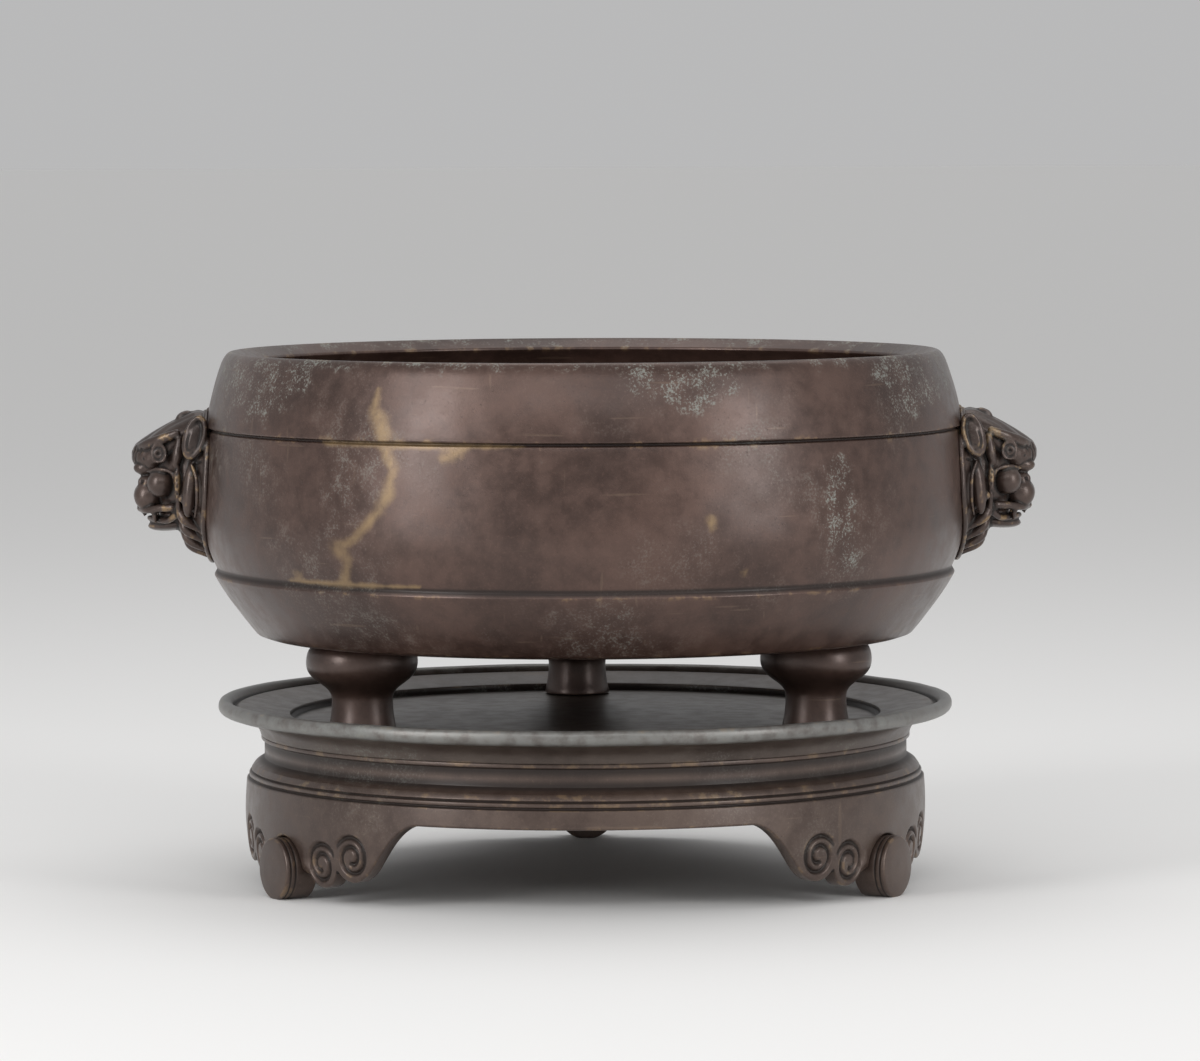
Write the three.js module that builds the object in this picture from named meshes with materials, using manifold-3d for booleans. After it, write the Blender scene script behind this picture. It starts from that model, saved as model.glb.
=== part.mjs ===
// Tripod incense burner of patinated bronze, standing on its own three-legged stand.
// Millimetres, +Z up. The origin is on the floor under the middle of the stand.
// +X runs through the right-hand lion mask, and -Y is the front, between two of the feet.

import * as THREE from 'three';
import { mergeVertices } from 'three/addons/utils/BufferGeometryUtils.js';
import Module from 'manifold-3d';

const wasm = await Module();
wasm.setup();

// Fits and fineness
const fitGap = 0.3; // left between pieces that are brazed, pinned or rested together
const ringSides = 48;
const footSides = 16;
const pinSides = 12;
const weldDistance = 1e-4;

// Stand frame: a ring on three legs, heights from the floor
const frameHeight = 40.2;
const frameWall = 4.6;
const frameTopBore = 84;
const capRadius = 89.4; // thin moulding under the tray
const capHeight = 1;
const waistRadius = 88.5;
const waistFoot = 34;
const shoulderRadius = 91.2;
const shoulderHeight = 32.4;
const upperGrooveHeight = 30.5;
const upperGrooveRadius = 91.7;
const filletRadius = 92.7;
const lowerGrooveHeight = 28.9;
const lowerGrooveRadius = 92.5;
const apronTop = 28.3;
const apronRadius = 93.7;
const apronBelly = 20; // height of the apron's widest part
const legToeRadius = 91.7; // where the legs' outside would meet the floor
const edgeRound = 0.6;

// Arches and the lobed lower edge of each leg, measured along the apron from the leg's middle
const archHeight = 23.3;
const archStart = 52.2;
const archRise = { along: 13.4, up: 13.1 }; // where the curve up to the arch sets off, from its end
const archEase = 8.7; // length over which that curve flattens
const outerLobe = { along: 17.95, up: 10.8, radius: 6.4 };
const innerLobe = { along: 30, up: 13.5, radius: 6.7 };
const notchHeight = 8.3;

// Roll feet: short cylinders lying across each leg, with a flat where they stand
const rollRadius = 8.4;
const rollFlat = 4.8;
const rollLength = 9.8;
const rollReach = 97.4; // radius of the roll's outer face
const rollEdge = 0.8;
const rollSides = 10;

// Tray, heights from its seat on the frame
const trayFloorRise = 3.8;
const trayFloorThickness = 3;
const wellRadius = 80.6;
const wellStep = 0.8;
const ledgeInnerRise = 5.7;
const ledgeOuterRise = 8.1;
const ledgeRadius = 95.2;
const trayGrooveRadius = 96.9;
const trayGrooveRise = 7.3;
const beadBottomRise = 5.6;
const beadTopRise = 9.9;
const beadInnerRadius = 97.4;
const beadOuterRadius = 101;
const spigotWall = 3.2;
const spigotDepth = 2;

// Bowl, heights from its underside; its other radii follow from the belly's
const bellyRadius = 104.6;
const bellyHeight = 32.9; // height of the widest part
const ridgeRadius = bellyRadius - 2.7;
const ridgeHeight = 16.9;
const ridgeChamfer = 1.3;
const bowlBottomRadius = ridgeRadius - 13.7;
const bowlCorner = 2.1;
const bowlCornerRise = 0.7;
const bellyFootRadius = bellyRadius - 3.5;
const bellyFootHeight = 18.6;
const bellyTopRadius = bellyRadius - 1.5;
const bellyTopHeight = 56.3;
const bandGrooveRadius = bellyTopRadius - 0.7;
const bandFootRadius = bellyTopRadius + 0.7;
const bandFootHeight = 57.4;
const bandTopRadius = bandFootRadius - 3.9;
const bandTopHeight = 73.6;
const rimRadius = bandTopRadius - 3;
const rimHeight = 77.9;
const lipRadius = rimRadius - 4.5;
const lipHeight = 75.3;
const bowlWall = 4.4;
const bowlFloor = 4.6;
const innerFloorRadius = bowlBottomRadius - 8.2;

// Bowl feet: balusters with a tenon brazed into the bowl's underside
const footHeight = 23;
const footWellClearance = 0.6; // between the feet's bases and the edge of the tray's well
const footTurn = 2; // degrees
const footNeckRadius = 13.4;
const footBulbRadius = 15.1;
const footBulbHeight = 18.4;
const footWaistRadius = 8.2;
const footWaistHeight = 8.6;
const footBaseRadius = 9.2;
const tenonRadius = 5;
const tenonLength = 2.6;

// Lion masks, riveted through the bowl's wall
const maskHeight = 43.1;
const maskBottom = 19.6;
const maskHalfWidth = 19.5;
const manePlateProud = 2.8;
const manePlateDepth = 12;
const manePlateBevel = 1.2;
const maneScallops = 6;
const maneScallopDepth = 1.1;
const rivetRadius = 1.6;
const rivetHeadRadius = 3;
const rivetHeadHeight = 1.2;
const rivetBite = 3; // how far the rivets reach into the masks
const rivetHeights = { upper: 48.4, lower: 30.4 };

// Levels that follow from the sizes above
const trayFloor = frameHeight + trayFloorRise;
const footBase = trayFloor + fitGap;
const bowlBottom = footBase + footHeight + fitGap;
const footCircle = wellRadius - footWellClearance - footBaseRadius;
const rollCentre = Math.sqrt(rollRadius ** 2 - (rollFlat / 2) ** 2);

const degrees = Math.PI / 180;
const legAngles = { front_right: -30, front_left: -150, back: 90 };

function bronze(color, roughness) {
  return new THREE.MeshStandardMaterial({ color, roughness, metalness: 0.85 });
}

const bowlBronze = bronze(0x4a3630, 0.42);
const maskBronze = bronze(0x4c3c33, 0.5);
const footBronze = bronze(0x46342f, 0.45);
const trayBronze = bronze(0x56514b, 0.5);
const frameBronze = bronze(0x54463d, 0.46);
const rivetBronze = bronze(0x6a5136, 0.5);

// Geometry helpers

function signedVolume(geometry) {
  const position = geometry.attributes.position;
  const index = geometry.index;
  const a = new THREE.Vector3();
  const b = new THREE.Vector3();
  const c = new THREE.Vector3();
  let sum = 0;
  for (let i = 0; i < index.count; i += 3) {
    a.fromBufferAttribute(position, index.getX(i));
    b.fromBufferAttribute(position, index.getX(i + 1));
    c.fromBufferAttribute(position, index.getX(i + 2));
    sum += a.dot(b.cross(c));
  }
  return sum / 6;
}

// Welds shared corners, drops collapsed triangles and turns the faces outward.
function closed(geometry) {
  geometry.deleteAttribute('normal');
  geometry.deleteAttribute('uv');
  const welded = mergeVertices(geometry, weldDistance);
  const corners = [];
  for (let i = 0; i < welded.index.count; i += 3) {
    const [a, b, c] = [0, 1, 2].map((k) => welded.index.getX(i + k));
    if (a !== b && b !== c && c !== a) corners.push(a, b, c);
  }
  welded.setIndex(corners);
  if (signedVolume(welded) < 0) {
    for (let i = 0; i < corners.length; i += 3) {
      [corners[i + 1], corners[i + 2]] = [corners[i + 2], corners[i + 1]];
    }
    welded.setIndex(corners);
  }
  return welded;
}

function toSolid(geometry) {
  const vertProperties = Float32Array.from(geometry.attributes.position.array);
  const triVerts = Uint32Array.from(geometry.index.array);
  return new wasm.Manifold(new wasm.Mesh({ numProp: 3, vertProperties, triVerts }));
}

function toGeometry(solid) {
  const mesh = solid.getMesh();
  const geometry = new THREE.BufferGeometry();
  geometry.setAttribute('position', new THREE.BufferAttribute(mesh.vertProperties, 3));
  geometry.setIndex(Array.from(mesh.triVerts));
  return geometry;
}

// Turns a profile of [radius, height] points about the Z axis.
function turned(profile, sides) {
  const points = profile.map(([radius, height]) => new THREE.Vector2(radius, height));
  const geometry = new THREE.LatheGeometry(points, sides);
  geometry.rotateX(90 * degrees);
  return closed(geometry);
}

// Points of a quadratic curve after its first point, as [radius, height].
function bend(from, control, to, steps) {
  const [start, middle, end] = [from, control, to].map(([x, y]) => new THREE.Vector2(x, y));
  const curve = new THREE.QuadraticBezierCurve(start, middle, end);
  return curve.getPoints(steps).slice(1).map((point) => [point.x, point.y]);
}

function cubic(from, controlA, controlB, to, steps) {
  const points = [from, controlA, controlB, to].map(([x, y]) => new THREE.Vector2(x, y));
  const curve = new THREE.CubicBezierCurve(...points);
  return curve.getPoints(steps).slice(1).map((point) => [point.x, point.y]);
}

// Radius of a profile at a height, on its first stretch that crosses that height.
function radiusAt(profile, height) {
  for (let i = 1; i < profile.length; i += 1) {
    const [r0, z0] = profile[i - 1];
    const [r1, z1] = profile[i];
    if (z0 !== z1 && (z0 - height) * (z1 - height) <= 0) {
      return r0 + ((r1 - r0) * (height - z0)) / (z1 - z0);
    }
  }
  return profile[0][0];
}

// A pin lying along +X from one radius to another.
function crossPin(radius, from, to, height) {
  const geometry = new THREE.CylinderGeometry(radius, radius, to - from, pinSides);
  geometry.rotateZ(-90 * degrees);
  geometry.translate((from + to) / 2, 0, height);
  return closed(geometry);
}

function named(name, geometry, material) {
  const mesh = new THREE.Mesh(geometry, material);
  mesh.name = name;
  return mesh;
}

function aboutAxis(angle, mesh) {
  const group = new THREE.Group();
  group.rotation.z = angle * degrees;
  group.add(mesh);
  return group;
}

// Stand frame

function apronRadiusAt(height) {
  const fall = (height - apronBelly) / apronBelly;
  return apronRadius - (apronRadius - legToeRadius) * fall ** 2;
}

function lobeArc(lobe, fromAngle, toAngle, steps) {
  const points = [];
  for (let i = 0; i <= steps; i += 1) {
    const angle = (fromAngle + ((toAngle - fromAngle) * i) / steps) * degrees;
    points.push([
      lobe.along + lobe.radius * Math.sin(angle),
      lobe.up - lobe.radius * Math.cos(angle),
    ]);
  }
  return points;
}

// Lower edge of the frame from a leg's middle to the arch's middle: over the roll foot,
// round the two lobes, up the arch's shoulder and along its flat top.
function halfLegEdge() {
  const notchAcross = ((rollRadius + fitGap) * apronRadius) / (apronRadius - frameWall);
  const edge = [];
  for (const angle of [0, 27, 54, 80]) {
    edge.push([
      notchAcross * Math.sin(angle * degrees),
      rollCentre + (rollRadius + fitGap) * Math.cos(angle * degrees),
    ]);
  }
  edge.push([notchAcross + 0.2, notchHeight]);
  edge.push(...lobeArc(outerLobe, -58, 75, 4));
  edge.push(...lobeArc(innerLobe, -50, 35, 3));
  const lobeEnd = edge[edge.length - 1];
  const leavingLobe = [archStart - archRise.along, archHeight - archRise.up];
  const nearingArch = [archStart - archEase, archHeight - 0.3];
  edge.push(...cubic(lobeEnd, leavingLobe, nearingArch, [archStart, archHeight], 4));
  const archMiddle = 60 * degrees * apronRadius;
  for (const share of [1 / 3, 2 / 3]) {
    edge.push([archStart + (archMiddle - archStart) * share, archHeight]);
  }
  return edge;
}

// Outline of the frame's wall at one azimuth, from the top outside, down, and up the inside.
function frameSection(lowerEdge) {
  const upper = [
    [capRadius, frameHeight],
    [capRadius, frameHeight - capHeight],
    [waistRadius, frameHeight - capHeight - 0.4],
    [waistRadius, waistFoot],
    [shoulderRadius, shoulderHeight],
    [shoulderRadius + 1, upperGrooveHeight + 0.4],
    [upperGrooveRadius, upperGrooveHeight],
    [filletRadius, upperGrooveHeight - 0.4],
    [lowerGrooveRadius, lowerGrooveHeight],
    [apronRadiusAt(apronTop), apronTop],
  ];
  const middle = (apronTop + lowerEdge) / 2;
  const lowerOutside = [
    [apronRadiusAt(middle), middle],
    [apronRadiusAt(lowerEdge + edgeRound), lowerEdge + edgeRound],
    [apronRadiusAt(lowerEdge) - edgeRound, lowerEdge],
  ];
  const inside = [
    [apronRadiusAt(lowerEdge) - frameWall, lowerEdge],
    [apronRadiusAt(middle) - frameWall, middle],
    [apronRadiusAt(apronTop) - frameWall, apronTop - frameWall / 2],
    [frameTopBore, waistFoot - frameWall / 2],
    [frameTopBore, frameHeight],
  ];
  return [...upper, ...lowerOutside, ...inside];
}

function makeFrame() {
  const half = halfLegEdge();
  const leg = [
    ...half.slice(1).reverse().map(([along, height]) => [-along, height]),
    ...half,
    [60 * degrees * apronRadius, archHeight],
  ];
  const positions = [];
  let sections = 0;
  let sectionSize = 0;
  for (const legAngle of Object.values(legAngles).sort((a, b) => a - b)) {
    for (const [along, height] of leg) {
      const angle = legAngle * degrees + along / apronRadius;
      const section = frameSection(height);
      for (const [radius, z] of section) {
        positions.push(radius * Math.cos(angle), radius * Math.sin(angle), z);
      }
      sectionSize = section.length;
      sections += 1;
    }
  }
  const corners = [];
  for (let i = 0; i < sections; i += 1) {
    const here = i * sectionSize;
    const next = ((i + 1) % sections) * sectionSize;
    for (let k = 0; k < sectionSize; k += 1) {
      const after = (k + 1) % sectionSize;
      corners.push(here + k, next + k, next + after);
      corners.push(here + k, next + after, here + after);
    }
  }
  const geometry = new THREE.BufferGeometry();
  geometry.setAttribute('position', new THREE.Float32BufferAttribute(positions, 3));
  geometry.setIndex(corners);
  return named('stand_frame', closed(geometry), frameBronze);
}

function makeRollFoot(place, angle) {
  const chord = Math.asin(rollFlat / 2 / rollRadius);
  const outline = new THREE.Shape();
  outline.absarc(0, 0, rollRadius, -90 * degrees + chord, 270 * degrees - chord, false);
  outline.closePath();
  const geometry = new THREE.ExtrudeGeometry(outline, {
    depth: rollLength - 2 * rollEdge,
    curveSegments: rollSides,
    bevelEnabled: true,
    bevelThickness: rollEdge,
    bevelSize: rollEdge,
    bevelOffset: -rollEdge,
    bevelSegments: 1,
  });
  // The outline's X runs along the leg, its Y up, and the roll's length outward.
  const along = new THREE.Vector3(0, 1, 0);
  const up = new THREE.Vector3(0, 0, 1);
  const outward = new THREE.Vector3(1, 0, 0);
  geometry.applyMatrix4(new THREE.Matrix4().makeBasis(along, up, outward));
  geometry.translate(rollReach - rollLength + rollEdge, 0, rollCentre);
  return aboutAxis(angle, named(`roll_foot_${place}`, closed(geometry), frameBronze));
}

// Tray

function makeTray() {
  const spigotRadius = frameTopBore - fitGap;
  const beadMiddle = (beadBottomRise + beadTopRise) / 2;
  const profile = [
    [0, trayFloorRise - trayFloorThickness],
    [spigotRadius - spigotWall, trayFloorRise - trayFloorThickness],
    [spigotRadius - spigotWall, -spigotDepth],
    [spigotRadius, -spigotDepth],
    [spigotRadius, 0],
    [capRadius, 0],
    ...bend([capRadius, 0], [capRadius + 0.8, beadBottomRise - 1], [beadInnerRadius, beadBottomRise], 4),
    ...bend(
      [beadInnerRadius, beadBottomRise],
      [beadOuterRadius, beadBottomRise],
      [beadOuterRadius, beadMiddle],
      3,
    ),
    ...bend(
      [beadOuterRadius, beadMiddle],
      [beadOuterRadius, beadTopRise],
      [(beadInnerRadius + beadOuterRadius) / 2, beadTopRise],
      3,
    ),
    ...bend(
      [(beadInnerRadius + beadOuterRadius) / 2, beadTopRise],
      [beadInnerRadius, beadTopRise],
      [trayGrooveRadius, trayGrooveRise],
      2,
    ),
    [ledgeRadius, ledgeOuterRise],
    [wellRadius + wellStep, ledgeInnerRise],
    [wellRadius + wellStep, trayFloorRise + wellStep],
    [wellRadius, trayFloorRise],
    [0, trayFloorRise],
  ];
  const tray = named('tray', turned(profile, ringSides), trayBronze);
  tray.position.z = frameHeight;
  return tray;
}

// Bowl

function bowlOutside() {
  const bottomEdge = [bowlBottomRadius + bowlCorner, bowlCornerRise];
  const bellyFoot = [bellyFootRadius, bellyFootHeight];
  const belly = [bellyRadius, bellyHeight];
  const bandFoot = [bandFootRadius, bandFootHeight];
  const bandTop = [bandTopRadius, bandTopHeight];
  return [
    [0, 0],
    [bowlBottomRadius, 0],
    bottomEdge,
    ...bend(bottomEdge, [ridgeRadius - 3.3, ridgeHeight - 6.3], [ridgeRadius, ridgeHeight], 4),
    [bellyFootRadius, ridgeHeight + ridgeChamfer],
    bellyFoot,
    ...bend(bellyFoot, [bellyRadius, (bellyFootHeight + bellyHeight) / 2], belly, 3),
    ...bend(
      belly,
      [bellyRadius, (bellyHeight + bellyTopHeight) / 2],
      [bellyTopRadius, bellyTopHeight],
      4,
    ),
    [bandGrooveRadius, bellyTopHeight + 0.3],
    [bandGrooveRadius, bandFootHeight - 0.4],
    bandFoot,
    ...bend(bandFoot, [bandFootRadius - 0.7, bandFootHeight + 7.1], bandTop, 2),
    ...bend(bandTop, [bandTopRadius - 1.2, rimHeight - 0.5], [rimRadius, rimHeight], 3),
  ];
}

function bowlInside() {
  const innerRadius = bellyRadius - bowlWall;
  const lip = [lipRadius, lipHeight];
  const underLip = [lipRadius - 0.2, lipHeight - 0.7];
  return [
    lip,
    underLip,
    ...bend(underLip, [innerRadius, lipHeight - 7.3], [innerRadius, bellyHeight], 3),
    ...bend(
      [innerRadius, bellyHeight],
      [innerRadius, bowlFloor + 5.8],
      [innerFloorRadius, bowlFloor],
      4,
    ),
    [0, bowlFloor],
  ];
}

const bowlSkin = bowlOutside();
const bowlLining = bowlInside();

function makeBowl() {
  let bowl = toSolid(turned([...bowlSkin, ...bowlLining], ringSides));
  const socket = new THREE.CylinderGeometry(
    tenonRadius + fitGap,
    tenonRadius + fitGap,
    2 * (tenonLength + fitGap),
    footSides,
  );
  socket.rotateX(90 * degrees);
  socket.translate(footCircle, 0, 0);
  const socketSolid = toSolid(closed(socket));
  for (const angle of Object.values(legAngles)) {
    bowl = bowl.subtract(socketSolid.rotate([0, 0, angle + footTurn]));
  }
  for (const height of Object.values(rivetHeights)) {
    const hole = toSolid(crossPin(rivetRadius + fitGap, bellyRadius - 20, bellyRadius + 20, height));
    bowl = bowl.subtract(hole).subtract(hole.rotate([0, 0, 180]));
  }
  return named('bowl', toGeometry(bowl), bowlBronze);
}

function makeBowlFoot(place, angle) {
  const profile = [
    [0, 0],
    [footBaseRadius, 0],
    [footBaseRadius, 0.8],
    ...bend(
      [footBaseRadius, 0.8],
      [footWaistRadius, footWaistHeight / 2],
      [footWaistRadius, footWaistHeight],
      3,
    ),
    ...cubic(
      [footWaistRadius, footWaistHeight],
      [footWaistRadius, footWaistHeight + 4.3],
      [footBulbRadius, footBulbHeight - 5.5],
      [footBulbRadius, footBulbHeight],
      6,
    ),
    ...bend(
      [footBulbRadius, footBulbHeight],
      [footBulbRadius, footHeight - 1.2],
      [footNeckRadius, footHeight],
      3,
    ),
    [tenonRadius, footHeight],
    [tenonRadius, footHeight + tenonLength],
    [0, footHeight + tenonLength],
  ];
  const foot = named(`bowl_foot_${place}`, turned(profile, footSides), footBronze);
  foot.position.set(footCircle, 0, footBase);
  return aboutAxis(angle + footTurn, foot);
}

// Lion mask, made for the +X side: outward from the belly, sideways along Y, up from its foot.

// The head's forms are drawn on a grid of 43 units from the mask's foot to its crest.
const maskUnit = maskHeight / 43;

function maskBall(outward, sideways, up, radii) {
  const geometry = new THREE.SphereGeometry(1, 10, 6);
  geometry.scale(...radii);
  geometry.translate(outward, sideways, up);
  geometry.scale(maskUnit, maskUnit, maskUnit);
  geometry.translate(bellyRadius, 0, maskBottom);
  return toSolid(closed(geometry));
}

function maskPair(outward, sideways, up, radii) {
  return [
    maskBall(outward, sideways, up, radii),
    maskBall(outward, -sideways, up, radii),
  ];
}

// The mane is a scalloped plate with its point down, in front of the bowl's wall.
function manePlate() {
  const crown = [0, maskHeight];
  const cheek = [maskHalfWidth * 0.9, maskHeight * 0.48];
  const besideCrown = [maskHalfWidth * 0.85, maskHeight + 1];
  const overCheek = [maskHalfWidth * 1.2, maskHeight * 0.72];
  const underCheek = [maskHalfWidth * 0.7, maskHeight * 0.3];
  const besidePoint = [maskHalfWidth * 0.3, maskHeight * 0.1];
  const side = [
    ...cubic(crown, besideCrown, overCheek, cheek, 12),
    ...cubic(cheek, underCheek, besidePoint, [0, 0], 12),
  ];
  const scalloped = side.map(([across, up], i) => {
    const turn = (Math.PI * maneScallops * (i + 1)) / side.length;
    return [across + maneScallopDepth * Math.abs(Math.sin(turn)), up];
  });
  scalloped[scalloped.length - 1] = [0, 0];
  const outline = new THREE.Shape();
  outline.moveTo(...crown);
  for (const [across, up] of scalloped) outline.lineTo(across, up);
  for (const [across, up] of scalloped.slice(0, -1).reverse()) outline.lineTo(-across, up);
  outline.closePath();
  const geometry = new THREE.ExtrudeGeometry(outline, {
    depth: manePlateDepth,
    bevelEnabled: true,
    bevelThickness: manePlateBevel,
    bevelSize: manePlateBevel,
    bevelOffset: -manePlateBevel,
    bevelSegments: 1,
  });
  const along = new THREE.Vector3(0, 1, 0);
  const up = new THREE.Vector3(0, 0, 1);
  const outward = new THREE.Vector3(1, 0, 0);
  geometry.applyMatrix4(new THREE.Matrix4().makeBasis(along, up, outward));
  const face = bellyRadius + manePlateProud;
  geometry.translate(face - manePlateDepth - manePlateBevel, 0, maskBottom);
  return toSolid(closed(geometry));
}

function makeMaskGeometry() {
  const forms = [
    maskBall(3, 0, 24, [12.5, 14, 16.5]), // skull
    maskBall(13.6, 0, 30, [6.2, 4.6, 6.4]), // bridge of the nose
    ...maskPair(12.2, 6.6, 31, [7, 5.6, 3.8]), // brows
    ...maskPair(11.4, 7.6, 26.4, [3.6, 3.6, 3.4]), // eyes
    ...maskPair(9.6, 10.8, 21.2, [4.8, 4.6, 4.6]), // cheeks
    maskBall(15.2, 0, 20, [4.6, 6, 4.2]), // nose
    ...maskPair(14, 5.6, 16.6, [5.4, 4.6, 3.6]), // upper lip
    maskBall(10, 0, 9.8, [8, 6.4, 3]), // jaw
    maskBall(3.4, 0, 11, [6, 9, 7]), // throat
    ...maskPair(3.6, 14.6, 36.4, [4.4, 4, 6.6]), // ears
    maskBall(4.6, 0, 39.2, [4.8, 5, 3.4]), // crest
    ...maskPair(1.8, 5, 7.4, [3.6, 2.8, 6.4]), // beard locks
  ];
  let mask = manePlate();
  for (const form of forms) mask = mask.add(form);
  const wall = bowlSkin.map(([radius, height]) => [radius > 0 ? radius + fitGap : 0, height]);
  mask = mask.subtract(toSolid(turned([...wall, [0, rimHeight]], ringSides)));
  for (const height of Object.values(rivetHeights)) {
    const end = radiusAt(bowlSkin.slice(1), height) + rivetBite + fitGap;
    mask = mask.subtract(toSolid(crossPin(rivetRadius + fitGap, end - 30, end, height)));
  }
  return toGeometry(mask);
}

function makeMask(side, geometry) {
  const mask = named(`lion_mask_${side.name}`, geometry, maskBronze);
  mask.position.z = bowlBottom;
  return aboutAxis(side.angle, mask);
}

function makeMaskRivet(side, level, height) {
  const liningRadius = radiusAt(bowlLining, height);
  const reach = radiusAt(bowlSkin.slice(1), height) + rivetBite;
  const headBack = liningRadius - 2 * fitGap;
  const profile = [
    [0, 0],
    [rivetHeadRadius - 0.8, 0],
    [rivetHeadRadius, rivetHeadHeight / 2],
    [rivetHeadRadius, rivetHeadHeight],
    [rivetRadius, rivetHeadHeight],
    [rivetRadius, reach - headBack + rivetHeadHeight],
    [0, reach - headBack + rivetHeadHeight],
  ];
  const geometry = turned(profile, pinSides);
  geometry.rotateY(90 * degrees);
  geometry.translate(headBack - rivetHeadHeight, 0, 0);
  const rivet = named(`mask_rivet_${side.name}_${level}`, geometry, rivetBronze);
  rivet.position.z = bowlBottom + height;
  return aboutAxis(side.angle, rivet);
}

// Assembly

const burner = new THREE.Group();

burner.add(makeFrame());
for (const [place, angle] of Object.entries(legAngles)) {
  burner.add(makeRollFoot(place, angle));
}
burner.add(makeTray());

const bowl = makeBowl();
bowl.position.z = bowlBottom;
burner.add(bowl);
for (const [place, angle] of Object.entries(legAngles)) {
  burner.add(makeBowlFoot(place, angle));
}

const maskGeometry = makeMaskGeometry();
for (const side of [{ name: 'right', angle: 0 }, { name: 'left', angle: 180 }]) {
  burner.add(makeMask(side, maskGeometry));
  for (const [level, height] of Object.entries(rivetHeights)) {
    burner.add(makeMaskRivet(side, level, height));
  }
}

export default burner;
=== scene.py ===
"""Tripod incense burner of patinated bronze on its own three-legged stand.

Sizes are millimetres in the part's frame: +Z up, +X through the right-hand lion mask, -Y the front.
"""

import math

import bmesh
import bpy
import numpy as np
from mathutils import Matrix, Vector


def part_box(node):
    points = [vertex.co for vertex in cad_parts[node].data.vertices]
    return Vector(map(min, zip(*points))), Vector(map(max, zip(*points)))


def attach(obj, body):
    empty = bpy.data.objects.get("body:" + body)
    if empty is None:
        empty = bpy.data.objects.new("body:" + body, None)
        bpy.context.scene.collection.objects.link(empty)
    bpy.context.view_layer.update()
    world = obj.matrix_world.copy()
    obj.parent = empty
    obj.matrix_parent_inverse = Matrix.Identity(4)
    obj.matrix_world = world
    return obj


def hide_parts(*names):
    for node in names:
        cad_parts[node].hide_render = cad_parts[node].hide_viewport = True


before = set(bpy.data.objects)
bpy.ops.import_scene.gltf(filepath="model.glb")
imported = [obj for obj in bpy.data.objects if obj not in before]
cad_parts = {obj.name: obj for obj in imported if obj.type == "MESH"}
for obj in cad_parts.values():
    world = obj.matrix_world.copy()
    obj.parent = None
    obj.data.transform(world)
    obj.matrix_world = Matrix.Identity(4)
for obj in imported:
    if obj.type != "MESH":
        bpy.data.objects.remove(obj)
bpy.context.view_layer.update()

MM = 0.001


def box_mm(node):
    low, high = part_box(node)
    return np.array(low) / MM, np.array(high) / MM


# Levels taken from the frame
bowl_foot = box_mm("bowl")[0][2]
frame_top = box_mm("stand_frame")[1][2]
baluster_base = box_mm("bowl_foot_back")[0][2]
mask_foot = box_mm("lion_mask_right")[0][2]

# Bowl, heights from its underside
bottom_radius = 88.2
ridge_radius = 101.9
ridge_height = 16.9
ridge_chamfer = 1.3
belly_foot_radius = 101.1
belly_foot_height = 18.6
belly_radius = 104.6
belly_height = 32.9
belly_top_radius = 103.1
belly_top_height = 56.3
band_groove_radius = 102.4
band_foot_radius = 103.8
band_foot_height = 57.4
band_top_radius = 99.9
band_top_height = 73.6
rim_radius = 96.9
rim_height = 77.9
lip_radius = 92.4
lip_height = 75.3
bowl_wall = 4.4
bowl_floor = 4.6
inner_floor_radius = 80

# Bowl feet, heights from their base
foot_height = 23
foot_neck_radius = 13.4
foot_bulb_radius = 15.1
foot_bulb_height = 18.4
foot_waist_radius = 8.2
foot_waist_height = 8.6
foot_base_radius = 9.2
foot_circle = 70.8
foot_turn = 2

# Tray, heights from its seat on the frame
tray_floor_rise = 3.8
tray_floor_thickness = 3
well_radius = 80.6
well_step = 0.8
ledge_inner_rise = 5.7
ledge_outer_rise = 8.1
ledge_radius = 95.2
tray_groove_radius = 96.9
tray_groove_rise = 7.3
bead_bottom_rise = 5.6
bead_top_rise = 9.9
bead_inner_radius = 97.4
bead_outer_radius = 101
spigot_radius = 83.7
spigot_wall = 3.2
spigot_depth = 2

# Stand frame, heights from the floor
frame_bore = 84
frame_wall = 4.6
cap_radius = 89.4
waist_radius = 88.5
waist_foot = 34
shoulder_radius = 91.2
shoulder_height = 32.4
upper_groove_height = 30.5
upper_groove_radius = 91.7
fillet_radius = 92.7
lower_groove_height = 28.9
lower_groove_radius = 92.5
apron_top = 28.3
apron_radius = 93.7
apron_belly = 20
leg_toe_radius = 91.7
edge_round = 0.6
arch_height = 23.3
arch_start = 52.2
outer_lobe = {"along": 17.95, "up": 10.8, "radius": 6.4}
inner_lobe = {"along": 30, "up": 13.5, "radius": 6.7}
notch_height = 8.3
fit_gap = 0.3

# Roll feet
roll_radius = 8.4
roll_flat = 4.8
roll_length = 9.8
roll_reach = 97.4
roll_centre = math.sqrt(roll_radius ** 2 - (roll_flat / 2) ** 2)

# Cast scrolls on the legs
scroll_start = 1.5
scroll_pitch = 2.5
scroll_turns = 1.72
scroll_half_width = 1.05
scroll_depth = 1.15

# Rivets
rivet_heights = {"upper": 48.4, "lower": 30.4}

leg_angles = {"front_right": -30, "front_left": -150, "back": 90}


# Profiles

def bend(start, control, end, steps=10):
    """Points of a quadratic curve after its first point."""
    t = np.linspace(0, 1, steps + 1)[1:, None]
    start, control, end = (np.array(p, float) for p in (start, control, end))
    return [tuple(p) for p in (1 - t) ** 2 * start + 2 * t * (1 - t) * control + t ** 2 * end]


def cubic(start, control_a, control_b, end, steps=16):
    t = np.linspace(0, 1, steps + 1)[1:, None]
    start, control_a, control_b, end = (np.array(p, float) for p in (start, control_a, control_b, end))
    near = (1 - t) ** 3 * start + 3 * t * (1 - t) ** 2 * control_a
    far = 3 * t ** 2 * (1 - t) * control_b + t ** 3 * end
    return [tuple(p) for p in near + far]


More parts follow.
